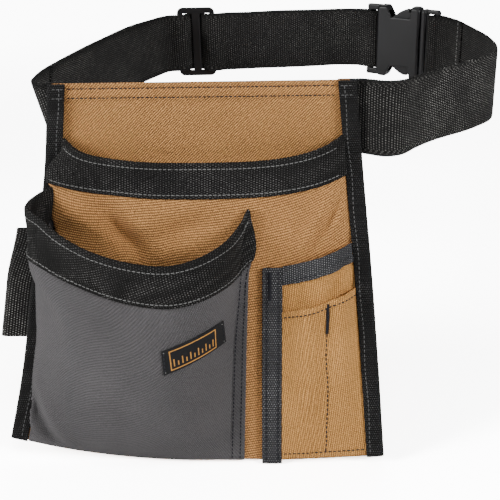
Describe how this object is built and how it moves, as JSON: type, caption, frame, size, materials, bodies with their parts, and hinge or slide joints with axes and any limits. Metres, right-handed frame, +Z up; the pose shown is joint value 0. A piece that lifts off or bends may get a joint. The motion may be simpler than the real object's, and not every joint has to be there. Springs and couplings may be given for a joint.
{
  "type": "carpenter nail apron",
  "caption": "Canvas nail apron pouch with open pockets, taped edges and a hammer loop on a wide webbing waist belt with a side-release buckle.",
  "frame": {"origin": "middle of the waist loop at the belt's mid height", "axes": "+Z up along the wearer, the pouch faces -Y, +X to the right seen from the front"},
  "size_m": [0.3615, 0.3539, 0.259],
  "materials": {
    "tan_canvas": "tan woven polyester canvas",
    "grey_canvas": "grey woven polyester canvas",
    "black_webbing": "black ribbed webbing",
    "grey_tape": "grey woven tape",
    "black_plastic": "moulded, satin",
    "patch": "black woven patch"
  },
  "bodies": {
    "root": {"back_panel": "tan_canvas", "upper_pocket": "tan_canvas", "upper_pocket_trim": "black_webbing", "main_pocket": "grey_canvas", "main_pocket_trim": "black_webbing", "small_pocket": "tan_canvas", "small_pocket_side_tape": "grey_tape", "small_pocket_top_tape": "grey_tape", "pen_pocket": "tan_canvas", "left_binding": "black_webbing", "right_binding": "black_webbing", "label": "patch", "hammer_loop": "black_webbing", "belt_left": "black_webbing", "belt_right": "black_webbing", "tri_glide": "black_plastic", "buckle_female": "black_plastic", "buckle_male": "black_plastic"}
  },
  "joints": []
}
